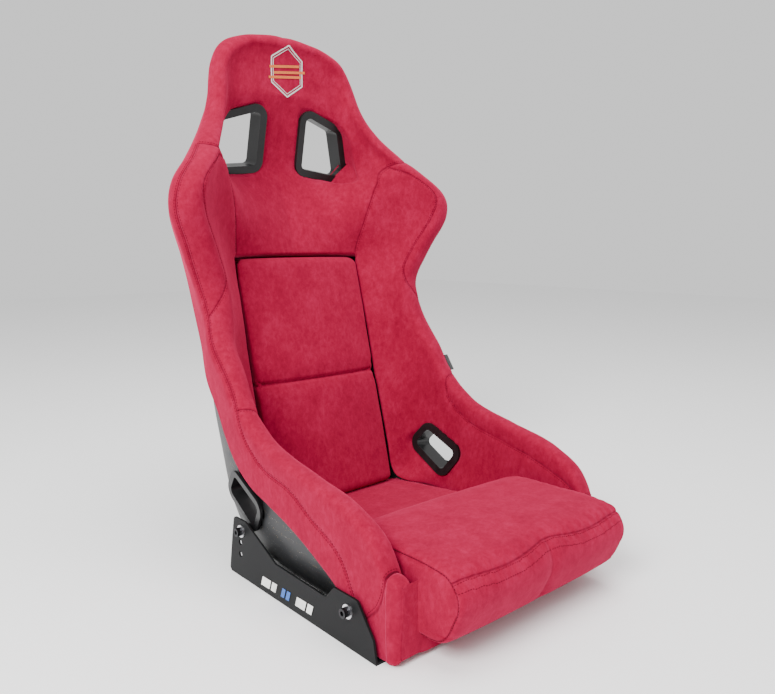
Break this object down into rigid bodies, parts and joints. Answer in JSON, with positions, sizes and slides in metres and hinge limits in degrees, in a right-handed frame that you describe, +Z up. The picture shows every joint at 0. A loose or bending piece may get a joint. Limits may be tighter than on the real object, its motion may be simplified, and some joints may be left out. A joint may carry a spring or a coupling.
{
  "type": "racing seat",
  "caption": "Fixed-back racing seat: padded moulded bucket with belt openings, lift-out seat and back cushions, and slotted steel side brackets.",
  "frame": {"origin": "on the floor plane, under the middle of the seat's bounding box", "axes": "+Z up, the seat faces -Y, +X is the occupant's left, X = 0 is the mirror plane"},
  "size_m": [0.5676, 0.6507, 0.8615],
  "materials": {
    "suede": "brushed rose-red suede cloth",
    "foam": "open-cell upholstery foam",
    "lining_cloth": "black loop cloth",
    "hook_and_loop": "black hook and loop tape",
    "tag_cloth": "black woven tape",
    "shell_laminate": "satin black gel coat with fine metal flake",
    "bezel_plastic": "semi-gloss black moulded plastic",
    "bracket_paint": "satin black powder coat on steel",
    "black_screws": "black oxide",
    "zinc_steel": "bright zinc",
    "spacer_plastic": "matt black"
  },
  "bodies": {
    "root": {"side_cover_left": "suede", "side_cover_right": "suede", "head_cover": "suede", "shoulder_cover": "suede", "side_foam_left": "foam", "side_foam_right": "foam", "head_foam": "foam", "shoulder_foam": "foam", "belt_bezel_front_left": "bezel_plastic", "belt_bezel_front_right": "bezel_plastic", "belt_bezel_rear_left": "bezel_plastic", "belt_bezel_rear_right": "bezel_plastic", "lap_bezel_inner_left": "bezel_plastic", "lap_bezel_inner_right": "bezel_plastic", "lap_bezel_outer_left": "bezel_plastic", "lap_bezel_outer_right": "bezel_plastic", "seat_loop_strips": "hook_and_loop", "back_loop_strips": "hook_and_loop", "bucket_shell": "shell_laminate", "shell_lining": "lining_cloth", "side_tag": "tag_cloth", "side_bracket_left": "bracket_paint", "side_bracket_right": "bracket_paint", "rear_bolts": "black_screws", "front_bolts": "black_screws", "plate_washers": "zinc_steel", "bracket_spacers": "spacer_plastic", "threaded_inserts": "zinc_steel"},
    "seat_cushion": {"seat_cushion_cover": "suede", "thigh_foam": "foam", "seat_base_foam": "foam", "seat_hook_strips": "hook_and_loop"},
    "back_cushion": {"back_cushion_cover": "suede", "upper_back_foam": "foam", "lumbar_foam": "foam", "back_hook_strips": "hook_and_loop"}
  },
  "joints": [
    {"name": "seat_cushion_lift", "type": "slide", "parent": "root", "child": "seat_cushion", "axis": [0, -0.9848, 0.174], "range_m": [0, 0.15]},
    {"name": "back_cushion_lift", "type": "slide", "parent": "root", "child": "back_cushion", "axis": [0, -0.995, 0.0998], "range_m": [0, 0.12]}
  ]
}
